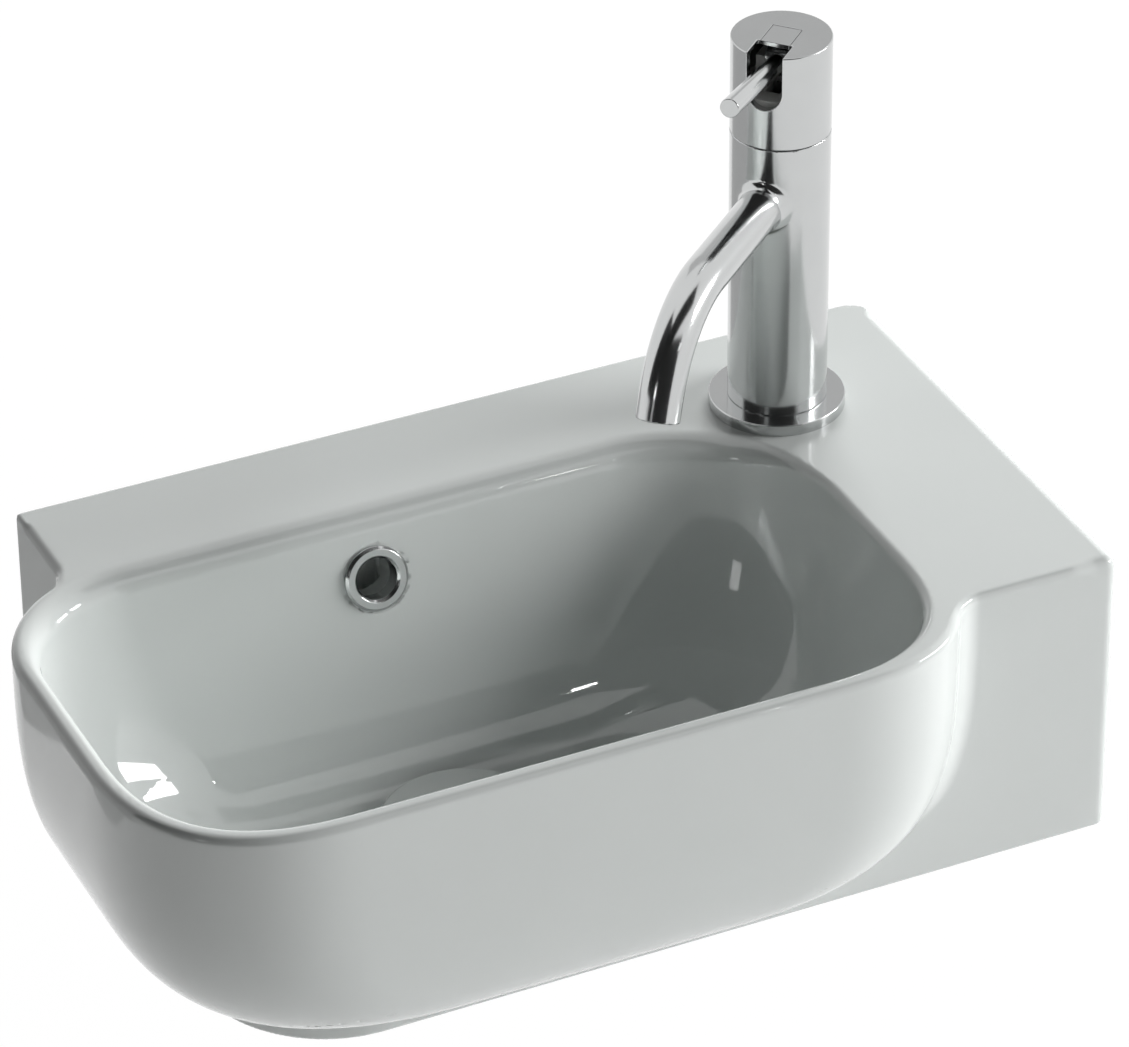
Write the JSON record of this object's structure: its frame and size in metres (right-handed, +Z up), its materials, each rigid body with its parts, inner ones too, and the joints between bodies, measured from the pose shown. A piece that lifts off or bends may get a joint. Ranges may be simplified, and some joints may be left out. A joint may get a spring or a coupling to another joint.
{
  "type": "wall-hung handbasin",
  "caption": "Compact wall-hung ceramic handbasin with an offset bowl, a tall single-lever tap with a curved spout, a push-open waste and an overflow.",
  "frame": {"origin": "middle between the two wall-fixing holes, on the wall face", "axes": "+X to the right along the wall, +Y into the wall, +Z up"},
  "size_m": [0.4545, 0.274, 0.353],
  "materials": {
    "glaze": "glossy glaze",
    "polished_metal": "polished, finely turned",
    "steel": "plain",
    "brass": "plain",
    "rubber": "matt",
    "white_plastic": "matt",
    "disc_ceramic": "lapped"
  },
  "bodies": {
    "root": {"basin": "glaze", "wall_bushes": "white_plastic", "overflow_ring": "polished_metal", "waste_body": "polished_metal", "waste_top_seal": "rubber", "waste_lower_seal": "rubber", "waste_slip_washer": "white_plastic", "waste_backnut": "brass", "plunger_guide": "white_plastic", "plunger_spring": "steel", "base_flange": "polished_metal", "tap_gasket": "rubber", "tap_body": "polished_metal", "spout": "polished_metal", "aerator": "steel", "cartridge_housing": "white_plastic", "cartridge_nut": "brass", "fixed_disc": "disc_ceramic", "disc_seal": "rubber", "tap_stud": "steel", "rubber_horseshoe": "rubber", "steel_horseshoe": "steel", "tap_nut": "brass"},
    "plug": {"waste_cap": "glaze", "cap_carrier": "steel", "cap_seal": "rubber", "plunger_stem": "steel"},
    "control": {"control_cap": "polished_metal", "cap_insert": "polished_metal", "swivel_carrier": "white_plastic", "cap_screw": "steel", "pivot_pin": "steel"},
    "lever": {"lever_hub": "polished_metal", "lever_stem": "steel", "lever_pin": "polished_metal"},
    "disc": {"moving_disc": "disc_ceramic"}
  },
  "joints": [
    {"name": "cap_swivel", "type": "hinge", "parent": "root", "child": "control", "pos_m": [0.13125, -0.061, 0.2], "axis": [0, 0, 1], "range_deg": [-45, 45]},
    {"name": "lever_tilt", "type": "hinge", "parent": "control", "child": "lever", "pos_m": [0.13125, -0.061, 0.237], "axis": [-0.6691, 0.7431, 0], "range_deg": [0, 20]},
    {"name": "disc_slide", "type": "slide", "parent": "control", "child": "disc", "axis": [-0.7431, -0.6691, 0], "range_m": [0, 0.0087]},
    {"name": "cap_press", "type": "slide", "parent": "root", "child": "plug", "axis": [0, 0, -1], "range_m": [0, 0.005], "deforming": ["plunger_spring"]}
  ],
  "couplings": [
    {"joint": "disc_slide", "follows": "lever_tilt", "m_per_rad": 0.0246}
  ]
}
